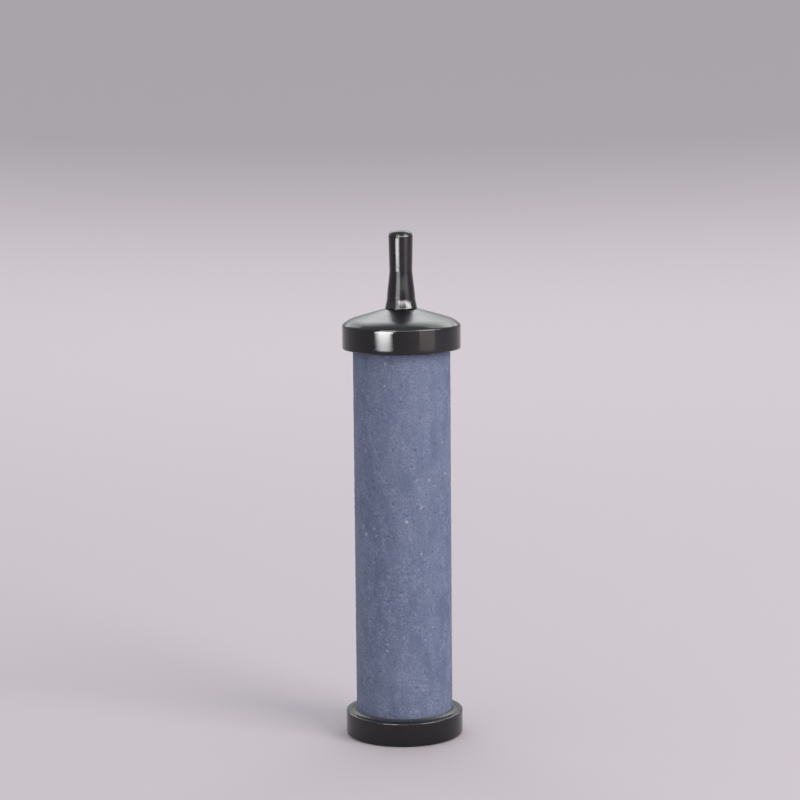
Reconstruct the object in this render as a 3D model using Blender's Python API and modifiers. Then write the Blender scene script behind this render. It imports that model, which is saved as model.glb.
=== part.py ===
"""A ceramic cylinder air stone for an aquarium, standing on its closed end cap.

A porous ceramic tube is bonded into two black plastic caps. Air enters through the hose nozzle on
the upper cap, fills the bore of the tube and leaves through the ceramic as fine bubbles.
Units are metres, +Z is up, and the origin is the centre of the end cap's underside.
"""

import math

import bpy

# Driving dimensions
STONE_DIAMETER = 0.0200
STONE_LENGTH = 0.0800
STONE_BORE = 0.0096
STONE_CHAMFER = 0.0003

CAP_DIAMETER = 0.0242
CAP_BAND = 0.0050  # height of a cap's straight side
CAP_COVER = 0.0023  # length of stone that a cap's skirt covers
CAP_SKIRT_WALL = 0.0012
CAP_EDGE = 0.0003  # rounding of a skirt's open edge
BASE_EDGE = 0.0006  # rounding around the end cap's underside

SPIGOT_LENGTH = 0.0030  # how far each cap's spigot enters the stone's bore
SPIGOT_WALL = 0.0012
SPIGOT_CHAMFER = 0.0003

BOND_DISC = 0.0005  # adhesive between the stone's end and the cap
BOND_COLLAR = 0.0003  # adhesive around the stone, inside the skirt
BOND_RECESS = 0.0002  # how far the adhesive stops short of the skirt's edge

RIM_RADIUS = 0.0006
SHOULDER_RADIUS = 0.0061
SHOULDER_START = 42  # degrees from the axis where the rim's rounding meets the shoulder
DOME_SLOPE = 16  # degrees that the dome falls away from level
HUB_RADIUS = 0.00345
HUB_DEPTH = 0.0031  # length of the hub's hole for the nozzle's shank

NOZZLE_HEIGHT = 0.0189  # from the top of the inlet cap's band to the nozzle's tip
NOZZLE_RADIUS = 0.0023  # where the barrel is thinnest, at the top of the flare
NOZZLE_BORE = 0.0026
TIP_RADIUS = 0.0016  # outer radius of the flat ring at the very tip
TIP_LENGTH = 0.0013  # height of the tip's rounding
SWELL_RADIUS = 0.00245  # radius of the barrel where the tip's rounding starts
FLARE_TOP = 0.0108  # heights above the top of the inlet cap's band
FLARE_END = 0.0056
FOOT_TOP = 0.0053
COLLAR_RADIUS = 0.00285
FOOT_RADIUS = 0.00325
FOOT_RIM = 0.0002
SHANK_RADIUS = 0.0023
SHANK_PROTRUSION = 0.0005  # length of shank below the hub

GAP = 0.0003  # clearance between neighbouring pieces
SEGMENTS = 64
MERGE_DISTANCE = 1e-6
SHARP_ANGLE = 35

# Heights worked out from the driving dimensions
BOND_SPACE = BOND_DISC + 2 * GAP
FLOOR = CAP_BAND - CAP_COVER - BOND_SPACE  # thickness of a cap's end wall
STONE_BASE = FLOOR + BOND_SPACE
SKIRT_EDGE = STONE_BASE + STONE_LENGTH - CAP_COVER  # lower edge of the inlet cap

CAP_RADIUS = CAP_DIAMETER / 2
SKIRT_INSIDE = CAP_RADIUS - CAP_SKIRT_WALL
SPIGOT_RADIUS = STONE_BORE / 2 - GAP
SPIGOT_INSIDE = SPIGOT_RADIUS - SPIGOT_WALL


def arc(centre_r, centre_z, radius, start, end, steps):
    """Points on an arc, where 0 degrees points up the axis and 90 degrees points outwards."""
    points = []
    for i in range(steps + 1):
        angle = math.radians(start + (end - start) * i / steps)
        r = centre_r + radius * math.sin(angle)
        z = centre_z + radius * math.cos(angle)
        points.append((r, z))
    return points


def principled(name, colour, roughness, metallic=0.0):
    """A Principled BSDF material."""
    material = bpy.data.materials.new(name)
    material.use_nodes = True
    shader = material.node_tree.nodes["Principled BSDF"]
    shader.inputs["Base Color"].default_value = (*colour, 1)
    shader.inputs["Roughness"].default_value = roughness
    shader.inputs["Metallic"].default_value = metallic
    return material


def turned(name, outline, height, material, parent, collection):
    """Spins an outline of (radius, z) points, which runs down the piece's outer side, around Z.

    An outline that starts on the axis ends there too. Any other outline is a closed loop.
    """
    edges = [(i, i + 1) for i in range(len(outline) - 1)]
    if outline[0][0] > 0:
        edges.append((len(outline) - 1, 0))
    profile = bpy.data.meshes.new(name + "_outline")
    profile.from_pydata([(r, 0, z) for r, z in outline], edges, [])

    piece = bpy.data.objects.new(name, profile)
    collection.objects.link(piece)
    screw = piece.modifiers.new("turn", "SCREW")
    screw.steps = SEGMENTS
    screw.render_steps = SEGMENTS
    screw.use_merge_vertices = True
    screw.merge_threshold = MERGE_DISTANCE

    # The turned mesh replaces the outline, so that its sharp edges can be marked.
    depsgraph = bpy.context.evaluated_depsgraph_get()
    mesh = bpy.data.meshes.new_from_object(piece.evaluated_get(depsgraph))
    piece.modifiers.clear()
    piece.data = mesh
    bpy.data.meshes.remove(profile)
    mesh.name = name
    mesh.shade_smooth()
    mesh.set_sharp_from_angle(angle=math.radians(SHARP_ANGLE))
    mesh.materials.append(material)

    piece.location.z = height
    piece.parent = parent
    return piece


def ceramic_tube_outline():
    """The porous tube, from its own lower end, with chamfered outer edges."""
    outside = STONE_DIAMETER / 2
    inside = STONE_BORE / 2
    return [
        (inside, STONE_LENGTH),
        (outside - STONE_CHAMFER, STONE_LENGTH),
        (outside, STONE_LENGTH - STONE_CHAMFER),
        (outside, STONE_CHAMFER),
        (outside - STONE_CHAMFER, 0),
        (inside, 0),
    ]


def end_cap_outline():
    """The closed cap, from its underside: a boss, a seat for the stone, a skirt and the base."""
    boss_top = STONE_BASE + SPIGOT_LENGTH
    outline = [
        (0, boss_top),
        (SPIGOT_RADIUS - SPIGOT_CHAMFER, boss_top),
        (SPIGOT_RADIUS, boss_top - SPIGOT_CHAMFER),
        (SPIGOT_RADIUS, FLOOR),
        (SKIRT_INSIDE, FLOOR),
        (SKIRT_INSIDE, CAP_BAND),
    ]
    outline += arc(CAP_RADIUS - CAP_EDGE, CAP_BAND - CAP_EDGE, CAP_EDGE, 0, 90, 3)
    outline += arc(CAP_RADIUS - BASE_EDGE, BASE_EDGE, BASE_EDGE, 90, 180, 4)
    outline.append((0, 0))
    return outline


def dome_height(radius):
    """Height of the dome's straight slope above the top of the band, at a radius."""
    slope = math.radians(DOME_SLOPE)
    start = math.radians(SHOULDER_START)
    rim_r = CAP_RADIUS - RIM_RADIUS + RIM_RADIUS * math.sin(start)
    rim_z = -RIM_RADIUS * math.sin(start) + RIM_RADIUS * math.cos(start)
    foot_r = rim_r - SHOULDER_RADIUS * (math.sin(start) - math.sin(slope))
    foot_z = rim_z + SHOULDER_RADIUS * (math.cos(slope) - math.cos(start))
    return foot_z + (foot_r - radius) * math.tan(slope)


def inlet_cap_outline():
    """The domed cap, from its skirt's lower edge: hub, dome, band, skirt, seat and hollow spigot."""
    hole = SHANK_RADIUS + GAP
    hub_top = CAP_BAND + dome_height(HUB_RADIUS)
    hub_base = hub_top - HUB_DEPTH
    seat = CAP_BAND - FLOOR
    spigot_end = CAP_COVER - SPIGOT_LENGTH

    start = math.radians(SHOULDER_START)
    rim_r = CAP_RADIUS - RIM_RADIUS
    rim_z = CAP_BAND - RIM_RADIUS * math.sin(start)
    shoulder_r = rim_r - (SHOULDER_RADIUS - RIM_RADIUS) * math.sin(start)
    shoulder_z = rim_z - (SHOULDER_RADIUS - RIM_RADIUS) * math.cos(start)

    outline = [(hole, hub_top), (HUB_RADIUS, hub_top)]
    outline += arc(shoulder_r, shoulder_z, SHOULDER_RADIUS, DOME_SLOPE, SHOULDER_START, 4)
    outline += arc(rim_r, rim_z, RIM_RADIUS, SHOULDER_START, 90, 3)[1:]
    outline += arc(CAP_RADIUS - CAP_EDGE, CAP_EDGE, CAP_EDGE, 90, 180, 3)
    outline += [
        (SKIRT_INSIDE, 0),
        (SKIRT_INSIDE, seat),
        (SPIGOT_RADIUS, seat),
        (SPIGOT_RADIUS, spigot_end + SPIGOT_CHAMFER),
        (SPIGOT_RADIUS - SPIGOT_CHAMFER, spigot_end),
        (SPIGOT_INSIDE, spigot_end),
        (SPIGOT_INSIDE, hub_base),
        (hole, hub_base),
    ]
    return outline


def hose_nozzle_outline():
    """The hose tail, from the top of the inlet cap's band: tip, barrel, flare, foot and shank."""
    bore = NOZZLE_BORE / 2
    foot_base = dome_height(HUB_RADIUS) + GAP
    shank_end = foot_base - GAP - HUB_DEPTH - SHANK_PROTRUSION
    tip_start = NOZZLE_HEIGHT - TIP_LENGTH

    outline = [(bore, NOZZLE_HEIGHT)]
    tip_steps = 6
    for i in range(tip_steps + 1):
        turn = math.radians(90 * i / tip_steps)
        r = TIP_RADIUS + (SWELL_RADIUS - TIP_RADIUS) * math.sin(turn)
        outline.append((r, tip_start + TIP_LENGTH * math.cos(turn)))

    flare_steps = 6
    for i in range(flare_steps + 1):
        t = i / flare_steps
        ease = 3 * t**2 - 2 * t**3
        r = NOZZLE_RADIUS + (COLLAR_RADIUS - NOZZLE_RADIUS) * ease
        outline.append((r, FLARE_TOP + (FLARE_END - FLARE_TOP) * t))

    foot_steps = 3
    foot_shoulder = foot_base + FOOT_RIM
    for i in range(foot_steps + 1):
        t = i / foot_steps
        r = COLLAR_RADIUS + (FOOT_RADIUS - COLLAR_RADIUS) * t**1.25
        outline.append((r, FOOT_TOP + (foot_shoulder - FOOT_TOP) * t))

    outline += [
        (FOOT_RADIUS, foot_base),
        (SHANK_RADIUS, foot_base),
        (SHANK_RADIUS, shank_end),
        (bore, shank_end),
    ]
    return outline


def bond_ring_outline():
    """The upper adhesive ring, from the inlet cap's lower edge: a disc with a collar below it."""
    inside = STONE_BORE / 2 + GAP
    collar_inside = STONE_DIAMETER / 2 + GAP
    collar_outside = collar_inside + BOND_COLLAR
    disc_base = CAP_COVER + GAP
    return [
        (inside, disc_base + BOND_DISC),
        (collar_outside, disc_base + BOND_DISC),
        (collar_outside, BOND_RECESS),
        (collar_inside, BOND_RECESS),
        (collar_inside, disc_base),
        (inside, disc_base),
    ]


def upside_down(outline, height):
    """The same outline turned over, so that what was at z = 0 is at z = height."""
    return [(r, height - z) for r, z in reversed(outline)]


def main():
    for old in list(bpy.data.objects):
        bpy.data.objects.remove(old)

    collection = bpy.data.collections.new("air_stone")
    bpy.context.scene.collection.children.link(collection)
    root = bpy.data.objects.new("air_stone_origin", None)
    collection.objects.link(root)

    ceramic = principled("porous_ceramic", (0.18, 0.20, 0.30), 0.95)
    cap_plastic = principled("black_cap_plastic", (0.012, 0.012, 0.014), 0.15)
    nozzle_plastic = principled("black_nozzle_plastic", (0.014, 0.014, 0.017), 0.12)
    end_plastic = principled("black_end_plastic", (0.012, 0.012, 0.014), 0.15)
    adhesive = principled("cured_adhesive", (0.06, 0.06, 0.065), 0.40)

    inlet_top = SKIRT_EDGE + CAP_BAND
    upper_bond = bond_ring_outline()
    lower_bond = upside_down(upper_bond, CAP_BAND)
    pieces = [
        ("end_cap", end_cap_outline(), 0, end_plastic),
        ("lower_bond_ring", lower_bond, 0, adhesive),
        ("ceramic_tube", ceramic_tube_outline(), STONE_BASE, ceramic),
        ("upper_bond_ring", upper_bond, SKIRT_EDGE, adhesive),
        ("inlet_cap", inlet_cap_outline(), SKIRT_EDGE, cap_plastic),
        ("hose_nozzle", hose_nozzle_outline(), inlet_top, nozzle_plastic),
    ]
    for name, outline, height, material in pieces:
        turned(name, outline, height, material, root, collection)


main()
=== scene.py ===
"""The finished looks of the air stone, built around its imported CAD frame.

Every CAD node is replaced by a finer piece of the same size. The stone gets its sintered grains
and pores, and the caps, the nozzle and the adhesive get rounded edges and moulding marks.
"""

import math

import bmesh
import bpy
import numpy as np
from mathutils import Matrix, Vector, noise


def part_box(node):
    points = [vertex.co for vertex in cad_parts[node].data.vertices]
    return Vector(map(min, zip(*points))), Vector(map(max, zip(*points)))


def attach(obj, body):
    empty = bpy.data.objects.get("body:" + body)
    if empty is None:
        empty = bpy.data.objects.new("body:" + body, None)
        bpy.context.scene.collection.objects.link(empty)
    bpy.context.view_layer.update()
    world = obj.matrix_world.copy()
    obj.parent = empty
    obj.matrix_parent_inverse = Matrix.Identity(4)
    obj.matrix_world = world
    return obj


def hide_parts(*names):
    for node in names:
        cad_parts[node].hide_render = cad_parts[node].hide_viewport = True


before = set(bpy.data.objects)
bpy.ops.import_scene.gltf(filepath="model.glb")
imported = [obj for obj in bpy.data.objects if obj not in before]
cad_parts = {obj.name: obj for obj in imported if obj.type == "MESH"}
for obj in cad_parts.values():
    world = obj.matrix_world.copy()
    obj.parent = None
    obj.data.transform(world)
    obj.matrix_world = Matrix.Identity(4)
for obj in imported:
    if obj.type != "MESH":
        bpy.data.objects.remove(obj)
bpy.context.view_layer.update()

MM = 0.001

# Sizes that the frame gives
STONE_LOW, STONE_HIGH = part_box("ceramic_tube")
CAP_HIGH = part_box("end_cap")[1]
NOZZLE_LOW, NOZZLE_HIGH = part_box("hose_nozzle")
STONE_RADIUS = STONE_HIGH.x
CAP_RADIUS = CAP_HIGH.x
FOOT_RADIUS = NOZZLE_HIGH.x

# The rest of the design's driving dimensions
STONE_BORE_RADIUS = 4.8 * MM
STONE_CHAMFER = 0.3 * MM
CAP_BAND = 5.0 * MM
CAP_COVER = 2.3 * MM
CAP_FLOOR = 1.6 * MM
SKIRT_INSIDE = CAP_RADIUS - 1.2 * MM
CAP_EDGE = 0.3 * MM
BASE_EDGE = 0.6 * MM
SPIGOT_RADIUS = 4.5 * MM
SPIGOT_INSIDE = 3.3 * MM
SPIGOT_LENGTH = 3.0 * MM
SPIGOT_EDGE = 0.3 * MM
RIM_RADIUS = 0.6 * MM
SHOULDER_RADIUS = 6.1 * MM
SHOULDER_START = 42  # degrees
DOME_SLOPE = 16  # degrees
HUB_RADIUS = 3.45 * MM
HUB_DEPTH = 3.1 * MM
NOZZLE_RADIUS = 2.3 * MM
NOZZLE_BORE_RADIUS = 1.3 * MM
SHANK_RADIUS = 2.3 * MM
COLLAR_RADIUS = 2.85 * MM
TIP_RADIUS = 1.6 * MM
TIP_LENGTH = 1.3 * MM
SWELL_RADIUS = 2.45 * MM
FLARE_TOP = 10.8 * MM
FLARE_END = 5.6 * MM
FOOT_TOP = 5.3 * MM
FOOT_RIM = 0.2 * MM
FOOT_CURVE = 1.25  # power of the foot's widening, where 1 is a straight cone
FLARE_EASE = 0.4  # how much of the flare is an S-curve, and the rest is a straight cone

GATE_DISH = 2.2 * MM  # radius of the dish around the mould's gate, under the end cap
GATE_SLOPE = 0.3 * MM  # width of the dish's sloping side
GATE_DEPTH = 0.3 * MM
GATE_RADIUS = 0.6 * MM
GATE_DRAFT = 0.05 * MM
GATE_TOP = 0.3 * GATE_DEPTH  # how far the gate's stub stays inside the dish
SEAM_HEIGHT = 0.025 * MM
SEAM_WIDTH = 0.09 * MM
SEAM_START = 0.5 * MM  # height above the nozzle's foot
SEAM_INSIDE = 1.9 * MM  # no seam within this radius: in the bore and on the tip's rounding
CORNER = 0.08 * MM  # rounding of the caps' moulded corners
NOZZLE_CORNER = 0.12 * MM
BEAD = 0.35 * MM  # how far the adhesive's bead runs along the stone from a skirt
BEAD_SET_BACK = 0.1 * MM  # how far inside the skirt's edge the bead starts

FIT = 0.02 * MM  # what is left between neighbouring fine pieces

STONE_BASE = STONE_LOW.z
SKIRT_EDGE = STONE_HIGH.z - CAP_COVER
BAND_TOP = SKIRT_EDGE + CAP_BAND


# ---------------------------------------------------------------- shapes


def arc(centre_r, centre_z, radius, start, end, steps):
    """Points on an arc, where 0 degrees points up the axis and 90 degrees points outwards."""
    points = []
    for i in range(steps + 1):
        angle = math.radians(start + (end - start) * i / steps)
        points.append((centre_r + radius * math.sin(angle), centre_z + radius * math.cos(angle)))
    return points


def line(start, end, steps):
    """Points along a straight line, both ends included."""
    return [
        tuple(a + (b - a) * i / steps for a, b in zip(start, end))
        for i in range(steps + 1)
    ]


def upside_down(outline, height):
    """The same outline turned over, so that what was at z = 0 is at z = height."""
    return [(r, height - z) for r, z in reversed(outline)]


def turned(name, outline, columns, shape=None):
    """A closed mesh turned around Z from (radius, z) points that run down its outer side.

    An outline that starts on the axis ends there too, and any other is a closed loop. shape takes
    the arrays of radius, z and angle, and returns the radius and z of the finished surface.
    """
    rows = len(outline)
    closed = outline[0][0] > 0
    angle = np.arange(columns) * math.tau / columns
    r = np.repeat(np.array([p[0] for p in outline])[:, None], columns, axis=1)
    z = np.repeat(np.array([p[1] for p in outline])[:, None], columns, axis=1)
    if shape:
        r, z = shape(r, z, angle)
    points = np.stack([r * np.cos(angle), r * np.sin(angle), z], axis=-1).reshape(-1, 3)

    row = np.arange(rows if closed else rows - 1)[:, None]
    column = np.arange(columns)[None]
    below = (row + 1) % rows
    beside = (column + 1) % columns
    corners = [
        row * columns + column,
        below * columns + column,
        below * columns + beside,
        row * columns + beside,
    ]
    faces = np.stack(corners, axis=-1).reshape(-1, 4)

    mesh = bpy.data.meshes.new(name)
    mesh.from_pydata(points.tolist(), [], faces.tolist())
    if not closed:
        grid = bmesh.new()
        grid.from_mesh(mesh)
        bmesh.ops.remove_doubles(grid, verts=grid.verts, dist=1e-8)
        grid.to_mesh(mesh)
        grid.free()
    mesh.shade_smooth()
    mesh.set_sharp_from_angle(angle=math.radians(40))
    piece = bpy.data.objects.new(name, mesh)
    bpy.context.scene.collection.objects.link(piece)
    return piece


def place(piece, node, material):
    """Gives a finished piece its material and its place in the frame."""
    piece.data.materials.append(material)
    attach(piece, "root")
    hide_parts(node)


# ---------------------------------------------------------------- the stone

GRAIN = 0.62 * MM
GRAIN_HEIGHT = 0.12 * MM
PORE = 0.55 * MM
PORE_START = 0.42
PORE_DEPTH = 0.12 * MM
WAVE = 9 * MM
WAVE_HEIGHT = 0.04 * MM
STONE_COLUMNS = 280
STONE_ROWS = 335
COVERED_FADE = 1.0 * MM


def sintered(point):
    """How far the sintered surface stands back at a point, and how much painted shade it gets in
    hollows and pores.
    """
    # Distances are in grains. The 7.3 spreads the centres, so that each grain has its own height.
    distances, centres = noise.voronoi(point / GRAIN)
    proud = 0.5 + 0.5 * noise.cell(centres[0] * 7.3)
    border = min(1.0, (distances[1] - distances[0]) / 0.45)
    dome = 1 - min(1.0, distances[0] / 0.8) ** 2
    pore = max(0.0, noise.noise(point / PORE) - PORE_START) / (1 - PORE_START)
    pore = min(1.0, 2.5 * pore)
    hollow = 1 - (0.45 * dome + 0.25 * border + 0.3 * proud)
    back = GRAIN_HEIGHT * hollow + PORE_DEPTH * pore
    back += WAVE_HEIGHT * (0.5 - 0.5 * noise.noise(point / WAVE))
    # The second value is painted shade, strongest deep in the hollows and in the pores.
    return back, min(1.0, 0.6 * hollow + pore)


def make_stone():
    """The porous tube: a fine grid of grains and pores outside, and a plain bore."""
    low, high = STONE_BASE, STONE_HIGH.z
    outline = line((STONE_BORE_RADIUS, high), (STONE_RADIUS - STONE_CHAMFER, high), 4)
    outline += line(
        (STONE_RADIUS, high - STONE_CHAMFER), (STONE_RADIUS, low + STONE_CHAMFER), STONE_ROWS
    )
    outline += line((STONE_RADIUS - STONE_CHAMFER, low), (STONE_BORE_RADIUS, low), 4)
    outline += line((STONE_BORE_RADIUS, low), (STONE_BORE_RADIUS, high), 8)[1:-1]
    hollow_shades = []

    def grains(r, z, angle):
        """Sets the outer wall back between its grains, and not where the caps cover it."""
        finished = r.copy()
        for i, j in np.ndindex(r.shape):
            point = Vector((r[i, j] * math.cos(angle[j]), r[i, j] * math.sin(angle[j]), z[i, j]))
            back, hollow = sintered(point)
            hollow_shades.append(hollow)
            if r[i, j] > STONE_RADIUS - 1e-6:
                inside = min(high - z[i, j], z[i, j] - low) / COVERED_FADE
                finished[i, j] -= back * min(1.0, inside)
        return finished, z

    stone = turned("porous_stone", outline, STONE_COLUMNS, grains)
    # The hollow attribute carries the painted shade of the hollows and pores to the material.
    attribute = stone.data.attributes.new("hollow", "FLOAT", "POINT")
    attribute.data.foreach_set("value", hollow_shades)
    return stone


# ---------------------------------------------------------------- caps and nozzle


def dome_start():
    """Radius and height of the rim's highest point, above the top of the band."""
    start = math.radians(SHOULDER_START)
    return (
        CAP_RADIUS - RIM_RADIUS * (1 - math.sin(start)),
        RIM_RADIUS * (math.cos(start) - math.sin(start)),
    )


def dome_height(radius):
    """Height of the dome's straight slope above the top of the band, at a radius."""
    slope, start = math.radians(DOME_SLOPE), math.radians(SHOULDER_START)
    rim_r, rim_z = dome_start()
    foot_r = rim_r - SHOULDER_RADIUS * (math.sin(start) - math.sin(slope))
    foot_z = rim_z + SHOULDER_RADIUS * (math.cos(slope) - math.cos(start))
    return foot_z + (foot_r - radius) * math.tan(slope)


HUB_TOP = BAND_TOP + dome_height(HUB_RADIUS)


def make_inlet_cap():
    """The domed cap with its skirt around the stone and its hollow spigot in the stone's bore."""
    hole = SHANK_RADIUS + FIT
    hub_base = HUB_TOP - HUB_DEPTH
    seat = BAND_TOP - CAP_FLOOR
    spigot_end = SKIRT_EDGE + CAP_COVER - SPIGOT_LENGTH

    start, slope = math.radians(SHOULDER_START), math.radians(DOME_SLOPE)
    rim_r, rim_z = dome_start()
    shoulder_r = rim_r - SHOULDER_RADIUS * math.sin(start)
    shoulder_z = BAND_TOP + rim_z - SHOULDER_RADIUS * math.cos(start)
    foot = (
        shoulder_r + SHOULDER_RADIUS * math.sin(slope),
        shoulder_z + SHOULDER_RADIUS * math.cos(slope),
    )
    rim_centre = BAND_TOP - RIM_RADIUS * math.sin(start)

    outline = [(hole, HUB_TOP - CORNER)]
    outline += arc(hole + CORNER, HUB_TOP - CORNER, CORNER, -90, 0, 4)[1:]
    outline += arc(HUB_RADIUS - CORNER, HUB_TOP - CORNER, CORNER, 0, DOME_SLOPE, 2)
    outline += line((HUB_RADIUS + CORNER, HUB_TOP - CORNER * math.tan(slope)), foot, 36)
    outline += arc(shoulder_r, shoulder_z, SHOULDER_RADIUS, DOME_SLOPE, SHOULDER_START, 16)[1:]
    outline += arc(CAP_RADIUS - RIM_RADIUS, rim_centre, RIM_RADIUS, SHOULDER_START, 90, 8)[1:]
    outline += line((CAP_RADIUS, rim_centre), (CAP_RADIUS, SKIRT_EDGE + CAP_EDGE), 10)[1:]
    outline += arc(CAP_RADIUS - CAP_EDGE, SKIRT_EDGE + CAP_EDGE, CAP_EDGE, 90, 180, 8)[1:]
    outline += arc(SKIRT_INSIDE + CORNER, SKIRT_EDGE + CORNER, CORNER, 180, 270, 4)
    outline += [
        (SKIRT_INSIDE, seat),
        (SPIGOT_RADIUS, seat),
        (SPIGOT_RADIUS, spigot_end + SPIGOT_EDGE),
        (SPIGOT_RADIUS - SPIGOT_EDGE, spigot_end),
        (SPIGOT_INSIDE, spigot_end),
        (SPIGOT_INSIDE, hub_base),
        (hole, hub_base),
    ]
    return turned("domed_inlet_cap", outline, 256)


def make_end_cap():
    """The closed cap with its boss in the stone's bore."""
    boss_top = STONE_BASE + SPIGOT_LENGTH
    outline = [
        (0, boss_top),
        (SPIGOT_RADIUS - SPIGOT_EDGE, boss_top),
        (SPIGOT_RADIUS, boss_top - SPIGOT_EDGE),
        (SPIGOT_RADIUS, CAP_FLOOR),
        (SKIRT_INSIDE, CAP_FLOOR),
    ]
    outline += arc(SKIRT_INSIDE + CORNER, CAP_BAND - CORNER, CORNER, -90, 0, 4)
    outline += arc(CAP_RADIUS - CAP_EDGE, CAP_BAND - CAP_EDGE, CAP_EDGE, 0, 90, 8)
    outline += line((CAP_RADIUS, CAP_BAND - CAP_EDGE), (CAP_RADIUS, BASE_EDGE), 10)[1:]
    outline += arc(CAP_RADIUS - BASE_EDGE, BASE_EDGE, BASE_EDGE, 90, 180, 8)[1:]
    outline += [
        (GATE_DISH, 0),
        (GATE_DISH - GATE_SLOPE, GATE_DEPTH),
        (GATE_RADIUS, GATE_DEPTH),
        (GATE_RADIUS - GATE_DRAFT, GATE_TOP),
        (0, GATE_TOP),
    ]
    return turned("closed_end_cap", outline, 256)


def make_nozzle():
    """The hose tail: a rounded tip, a barrel that widens to it, a flare, a foot and a shank."""
    foot_base = HUB_TOP + FIT
    tip = NOZZLE_HIGH.z
    tip_start = tip - TIP_LENGTH
    flare_top, flare_end = BAND_TOP + FLARE_TOP, BAND_TOP + FLARE_END
    foot_top, foot_shoulder = BAND_TOP + FOOT_TOP, foot_base + FOOT_RIM

    outline = arc(NOZZLE_BORE_RADIUS + NOZZLE_CORNER, tip - NOZZLE_CORNER, NOZZLE_CORNER, -90, 0, 5)
    tip_steps = 24
    for i in range(tip_steps + 1):
        turn = math.radians(90 * i / tip_steps)
        r = TIP_RADIUS + (SWELL_RADIUS - TIP_RADIUS) * math.sin(turn)
        outline.append((r, tip_start + TIP_LENGTH * math.cos(turn)))
    outline += line((SWELL_RADIUS, tip_start), (NOZZLE_RADIUS, flare_top), 24)[1:]
    flare_steps = 32
    for i in range(1, flare_steps + 1):
        t = i / flare_steps
        ease = (1 - FLARE_EASE) * t + FLARE_EASE * (3 * t**2 - 2 * t**3)
        r = NOZZLE_RADIUS + (COLLAR_RADIUS - NOZZLE_RADIUS) * ease
        outline.append((r, flare_top + (flare_end - flare_top) * t))
    foot_steps = 16
    for i in range(foot_steps + 1):
        t = i / foot_steps
        r = COLLAR_RADIUS + (FOOT_RADIUS - COLLAR_RADIUS) * t**FOOT_CURVE
        outline.append((r, foot_top + (foot_shoulder - foot_top) * t))
    corner = FOOT_RADIUS - NOZZLE_CORNER
    outline += arc(corner, foot_base + NOZZLE_CORNER, NOZZLE_CORNER, 90, 180, 5)
    outline += [
        (SHANK_RADIUS, foot_base),
        (SHANK_RADIUS, NOZZLE_LOW.z),
        (NOZZLE_BORE_RADIUS, NOZZLE_LOW.z),
    ]

    def seams(r, z, angle):
        """Two fine parting ridges, left and right, on the outside above the foot."""
        across = np.minimum(abs(angle - math.pi), np.minimum(angle, math.tau - angle))
        ridge = SEAM_HEIGHT * np.exp(-((across[None] * r / SEAM_WIDTH) ** 2))
        outside = (r > SEAM_INSIDE) & (z > foot_base + SEAM_START)
        return r + np.where(outside, ridge, 0), z

    return turned("hose_tail", outline, 240, seams)


def bond_outline():
    """The upper adhesive from the skirt's lower edge: a disc, a collar and a bead on the stone."""
    stone = STONE_RADIUS + FIT
    skirt = SKIRT_INSIDE - FIT
    disc_base = CAP_COVER + FIT
    disc_top = CAP_BAND - CAP_FLOOR - FIT
    inside = SPIGOT_RADIUS + FIT
    outline = [(inside, disc_top), (skirt, disc_top)]
    outline += line((skirt, disc_top), (skirt, BEAD_SET_BACK), 6)[1:]
    bead_steps = 12
    for i in range(1, bead_steps + 1):
        t = i / bead_steps
        outline.append((skirt + (stone - skirt) * t, BEAD_SET_BACK - (BEAD + BEAD_SET_BACK) * t**2))
    outline += [(stone, disc_base), (inside, disc_base)]
    return outline


def make_bond(name, outline, base):
    """An adhesive ring from its outline, whose heights start from base."""
    return turned(name, [(r, z + base) for r, z in outline], 192)


# ---------------------------------------------------------------- materials


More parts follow.
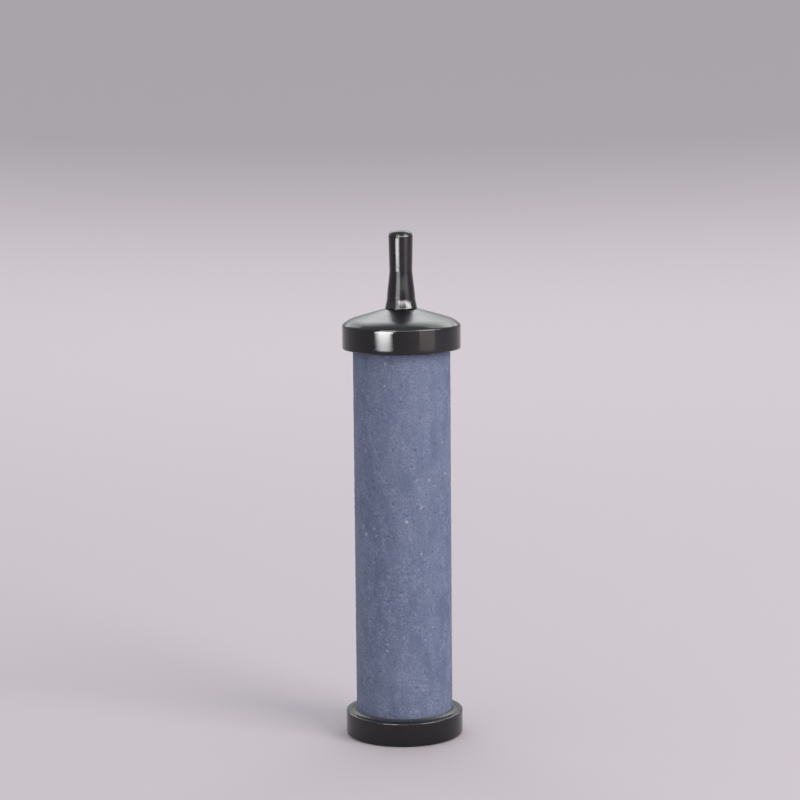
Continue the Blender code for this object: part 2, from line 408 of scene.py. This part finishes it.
class Nodes:
    """A material's node tree, with short ways to add and join nodes."""

    def __init__(self, name):
        self.material = bpy.data.materials.new(name)
        self.material.use_nodes = True
        self.tree = self.material.node_tree
        self.shader = self.tree.nodes["Principled BSDF"]
        self.place = self.tree.nodes.new("ShaderNodeTexCoord").outputs["Object"]

    def add(self, kind, **values):
        """A new node with some of its settings."""
        node = self.tree.nodes.new(kind)
        for key, value in values.items():
            setattr(node, key, value)
        return node

    def link(self, output, target):
        self.tree.links.new(output, target)

    def noise(self, size, detail=2.0, stretch=(1, 1, 1)):
        """A noise value whose features are about size metres across."""
        mapping = self.add("ShaderNodeMapping")
        mapping.inputs["Scale"].default_value = [s / size for s in stretch]
        self.link(self.place, mapping.inputs["Vector"])
        texture = self.add("ShaderNodeTexNoise")
        texture.inputs["Scale"].default_value = 1.0
        texture.inputs["Detail"].default_value = detail
        self.link(mapping.outputs["Vector"], texture.inputs["Vector"])
        return texture.outputs["Fac"]

    def ragged(self, size, amount):
        """Places moved about at random by amount metres, over size metres."""
        texture = self.add("ShaderNodeTexNoise")
        texture.inputs["Scale"].default_value = 1 / size
        self.link(self.place, texture.inputs["Vector"])
        move = self.add("ShaderNodeVectorMath", operation="MULTIPLY_ADD")
        self.link(texture.outputs["Color"], move.inputs[0])
        move.inputs[1].default_value = [amount] * 3
        self.link(self.place, move.inputs[2])
        return move.outputs["Vector"]

    def cells(self, size, places, feature="F1"):
        """Random cells about size metres across."""
        texture = self.add("ShaderNodeTexVoronoi", feature=feature)
        texture.inputs["Scale"].default_value = 1 / size
        self.link(places, texture.inputs["Vector"])
        return texture.outputs

    def height(self):
        """The height of the place that is shaded."""
        node = self.add("ShaderNodeSeparateXYZ")
        self.link(self.place, node.inputs["Vector"])
        return node.outputs["Z"]

    def math(self, operation, first, second):
        """A sum on two values, each a number or another node's output."""
        node = self.add("ShaderNodeMath", operation=operation)
        for key, value in enumerate((first, second)):
            if isinstance(value, (int, float)):
                node.inputs[key].default_value = value
            else:
                self.link(value, node.inputs[key])
        return node.outputs["Value"]

    def attribute(self, name):
        """The mesh's own value of that name."""
        node = self.add("ShaderNodeAttribute", attribute_name=name)
        return node.outputs["Fac"]

    def spread(self, value, low, high, to_low, to_high):
        """A value mapped from low..high to to_low..to_high, and kept within that."""
        node = self.add("ShaderNodeMapRange")
        for key, number in zip(
            ("From Min", "From Max", "To Min", "To Max"), (low, high, to_low, to_high)
        ):
            node.inputs[key].default_value = number
        self.link(value, node.inputs["Value"])
        return node.outputs["Result"]

    def mix(self, factor, first, second):
        """Two colours mixed, each a colour or another node's output."""
        node = self.add("ShaderNodeMix", data_type="RGBA")
        for key, value in zip((0, 6, 7), (factor, first, second)):
            if isinstance(value, tuple):
                node.inputs[key].default_value = (*value, 1)
            elif isinstance(value, float):
                node.inputs[key].default_value = value
            else:
                self.link(value, node.inputs[key])
        return node.outputs[2]

    def bump(self, height, distance, strength, normal=None):
        """A normal bent by a height from 0 to 1, which stands for distance metres."""
        node = self.add("ShaderNodeBump")
        node.inputs["Strength"].default_value = strength
        node.inputs["Distance"].default_value = distance
        self.link(height, node.inputs["Height"])
        if normal is not None:
            self.link(normal, node.inputs["Normal"])
        return node.outputs["Normal"]


def stone_material():
    """Blue-grey sintered ceramic: grains of several shades, painted shade in the crevices, hollows
    and pores, and pale flecks.
    """
    n = Nodes("sintered_ceramic")
    ragged = n.ragged(0.30 * MM, 0.55 * MM)
    grains = n.cells(0.52 * MM, ragged)
    split = n.add("ShaderNodeSeparateColor")
    n.link(grains["Color"], split.inputs["Color"])
    shade = split.outputs["Red"]
    hollow = n.attribute("hollow")
    crevice = n.cells(0.52 * MM, ragged, "DISTANCE_TO_EDGE")["Distance"]
    fines = n.cells(0.23 * MM, ragged)["Distance"]

    colour = n.mix(shade, (0.135, 0.174, 0.288), (0.272, 0.318, 0.472))
    patch = n.spread(n.noise(2.2 * MM, 2, (1, 1, 0.45)), 0.40, 0.60, 0, 0.9)
    colour = n.mix(patch, colour, (0.138, 0.171, 0.286))
    cloud = n.spread(n.noise(6 * MM, 3, (1, 1, 0.6)), 0.38, 0.62, 0, 0.55)
    colour = n.mix(cloud, colour, (0.245, 0.285, 0.412))
    colour = n.mix(n.spread(fines, 0.25, 0.75, 0, 0.42), colour, (0.100, 0.129, 0.215))
    # Painted shade: darker in the crevices between the grains, and in the hollows and pores.
    colour = n.mix(n.spread(crevice, 0.0, 0.16, 0.35, 0), colour, (0.075, 0.094, 0.150))
    colour = n.mix(n.spread(hollow, 0.40, 1.0, 0, 0.55), colour, (0.066, 0.084, 0.135))
    fleck = n.spread(shade, 0.995, 0.999, 0, 0.5)
    colour = n.mix(fleck, colour, (0.50, 0.53, 0.60))

    # The stone is darker next to each skirt's edge, in a ragged band that fades out over half a
    # millimetre.
    wander = n.math("MULTIPLY", n.spread(n.noise(1.5 * MM, 3), 0.3, 0.7, -1, 1), 0.15 * MM)
    height = n.math("ADD", n.height(), wander)
    low = n.spread(height, CAP_BAND + 0.15 * MM, CAP_BAND + 0.45 * MM, 0.6, 0)
    high = n.spread(height, SKIRT_EDGE - 0.45 * MM, SKIRT_EDGE - 0.15 * MM, 0, 0.6)
    colour = n.mix(n.math("MAXIMUM", low, high), colour, (0.040, 0.046, 0.062))

    n.link(colour, n.shader.inputs["Base Color"])
    rough = n.spread(n.noise(0.3 * MM), 0.3, 0.7, 0.75, 0.95)
    n.link(n.math("SUBTRACT", rough, n.math("MULTIPLY", fleck, 0.5)), n.shader.inputs["Roughness"])
    n.shader.inputs["Specular IOR Level"].default_value = 0.4
    grain_bump = n.bump(n.spread(crevice, 0.0, 0.4, 0, 1), 0.08 * MM, 0.6)
    n.link(n.bump(n.noise(0.12 * MM, 3), 0.05 * MM, 0.8, grain_bump), n.shader.inputs["Normal"])
    return n.material


def plastic_material(name, dark, light, finest, satin_from):
    """Black injection-moulded plastic: glossy walls, and a satin top above a height.

    finest is the roughness where the gloss is finest.
    """
    n = Nodes(name)
    colour = n.mix(n.spread(n.noise(2.5 * MM, 3), 0.35, 0.7, 0, 1), dark, light)
    n.link(colour, n.shader.inputs["Base Color"])
    satin = n.spread(n.height(), satin_from - 0.2 * MM, satin_from + 0.3 * MM, 0, 0.21)
    haze = n.spread(n.noise(4 * MM, 4), 0.35, 0.7, finest, finest + 0.06)
    n.link(n.math("ADD", haze, satin), n.shader.inputs["Roughness"])
    skin = n.bump(n.noise(2.4 * MM, 1), 0.0030 * MM, 0.5)
    n.link(n.bump(n.noise(0.12 * MM, 2), 0.0005 * MM, 0.4, skin), n.shader.inputs["Normal"])
    return n.material


def adhesive_material():
    """Cured dark epoxy, with a soft gloss and fine bubbles."""
    n = Nodes("cured_epoxy")
    bubble = n.spread(n.noise(0.25 * MM, 1), 0.6, 0.75, 0, 1)
    colour = n.mix(bubble, (0.030, 0.031, 0.036), (0.080, 0.082, 0.09))
    n.link(colour, n.shader.inputs["Base Color"])
    n.link(n.spread(n.noise(0.8 * MM), 0.3, 0.7, 0.22, 0.42), n.shader.inputs["Roughness"])
    n.link(n.bump(n.noise(0.5 * MM, 2), 0.03 * MM, 0.6), n.shader.inputs["Normal"])
    return n.material


def floor_material():
    """A matt pale floor, which shows no reflection of the lights."""
    n = Nodes("pale_floor")
    n.shader.inputs["Base Color"].default_value = (0.585, 0.535, 0.560, 1)
    n.shader.inputs["Roughness"].default_value = 1.0
    n.shader.inputs["Specular IOR Level"].default_value = 0.0
    return n.material


# ---------------------------------------------------------------- stage, light and camera

FLOOR_RADIUS = 0.35
RISE_WIDTH = 1.55
RISE_HEIGHT = 0.42
FLOOR_THICKNESS = 0.03

FOCAL_LENGTH = 99.8  # mm, on a sensor 36 mm wide
CAMERA_PLACE = (-0.0004, -0.45, 0.1294)
CAMERA_DOWN = 7.55  # degrees below the horizon
CAMERA_LEAN = -0.5  # degrees


def make_stage():
    """A pale floor that rises slowly into a low wall all round, so that no horizon shows."""
    steps = 40
    rim = FLOOR_RADIUS + RISE_WIDTH + 0.02
    outline = [(0, 0)]
    for i in range(steps + 1):
        t = i / steps
        outline.append((FLOOR_RADIUS + RISE_WIDTH * t, RISE_HEIGHT * t**2.2))
    outline += [(rim, RISE_HEIGHT), (rim, -FLOOR_THICKNESS), (0, -FLOOR_THICKNESS)]
    return turned("studio_floor", outline, 128)


def softbox(name, azimuth, elevation, distance, size, power, colour=(1, 1, 1), target=0.05):
    """An area light aimed at the object from a direction round it."""
    data = bpy.data.lights.new(name, "AREA")
    data.shape = "RECTANGLE"
    data.size, data.size_y = size
    data.energy = power
    data.color = colour
    light = bpy.data.objects.new(name, data)
    a, e = math.radians(azimuth), math.radians(elevation)
    back = Vector((math.sin(a) * math.cos(e), -math.cos(a) * math.cos(e), math.sin(e)))
    light.location = Vector((0, 0, target)) + back * distance
    light.rotation_mode = "QUATERNION"
    light.rotation_quaternion = (-back).to_track_quat("-Z", "Y")
    light.visible_camera = False
    bpy.context.scene.collection.objects.link(light)
    return light


def make_camera():
    """A camera a little above the nozzle's tip, looking slightly down and leaning half a degree."""
    data = bpy.data.cameras.new("camera")
    data.lens = FOCAL_LENGTH
    data.sensor_width = 36
    data.clip_start = 0.01
    camera = bpy.data.objects.new("camera", data)
    tilt = Matrix.Rotation(math.radians(90 - CAMERA_DOWN), 4, "X")
    lean = Matrix.Rotation(math.radians(CAMERA_LEAN), 4, "Z")
    camera.matrix_world = Matrix.Translation(CAMERA_PLACE) @ tilt @ lean
    bpy.context.scene.collection.objects.link(camera)
    bpy.context.scene.camera = camera


def make_world():
    """Even, slightly cool light from all round."""
    world = bpy.data.worlds.new("studio")
    world.use_nodes = True
    sky = world.node_tree.nodes["Background"]
    sky.inputs["Color"].default_value = (0.93, 0.96, 1.0, 1)
    sky.inputs["Strength"].default_value = 0.70
    bpy.context.scene.world = world
    bpy.context.scene.view_settings.view_transform = "Standard"


make_camera()
make_world()

plastic = plastic_material(
    "gloss_black_plastic",
    (0.0060, 0.0060, 0.0070),
    (0.0085, 0.0085, 0.0095),
    0.05,
    BAND_TOP + 0.35 * MM,
)
nozzle_plastic = plastic_material(
    "nozzle_plastic",
    (0.0060, 0.0060, 0.0080),
    (0.0090, 0.0090, 0.0110),
    0.13,
    NOZZLE_HIGH.z + 1 * MM,
)
epoxy = adhesive_material()

place(make_stone(), "ceramic_tube", stone_material())
place(make_inlet_cap(), "inlet_cap", plastic)
place(make_nozzle(), "hose_nozzle", nozzle_plastic)
place(make_end_cap(), "end_cap", plastic)
upper = make_bond("upper_adhesive", bond_outline(), SKIRT_EDGE)
place(upper, "upper_bond_ring", epoxy)
lower = make_bond("lower_adhesive", upside_down(bond_outline(), CAP_BAND), 0)
place(lower, "lower_bond_ring", epoxy)

stage = make_stage()
stage.data.materials.append(floor_material())

softbox("key", 52, 30, 0.9, (0.5, 0.5), 4.2, (1, 0.95, 0.94))
softbox("back_top", 180, 38, 0.95, (1.3, 0.6), 3.5)
window = softbox("left_window", -34, 0, 0.6, (0.40, 0.037), 0.85, target=0.0355)
window.data.shape = "ELLIPSE"
panel = softbox("left_panel", -27, 0, 0.6, (0.35, 0.56), 3.0, target=0.325)
header = softbox("front_header", 2, 20, 0.7, (0.68, 0.065), 1.9)
right_header = softbox("right_header", 56, 20, 0.7, (0.70, 0.065), 2.2)
stripe = softbox("right_stripe", 51, 6, 0.6, (0.36, 0.20), 0.26, (1, 0.84, 0.78))
sheen = softbox("dome_sheen", 160, 50, 0.8, (1.0, 0.5), 2.8)
for gloss in (window, panel, header, right_header, stripe, sheen):
    gloss.visible_diffuse = False
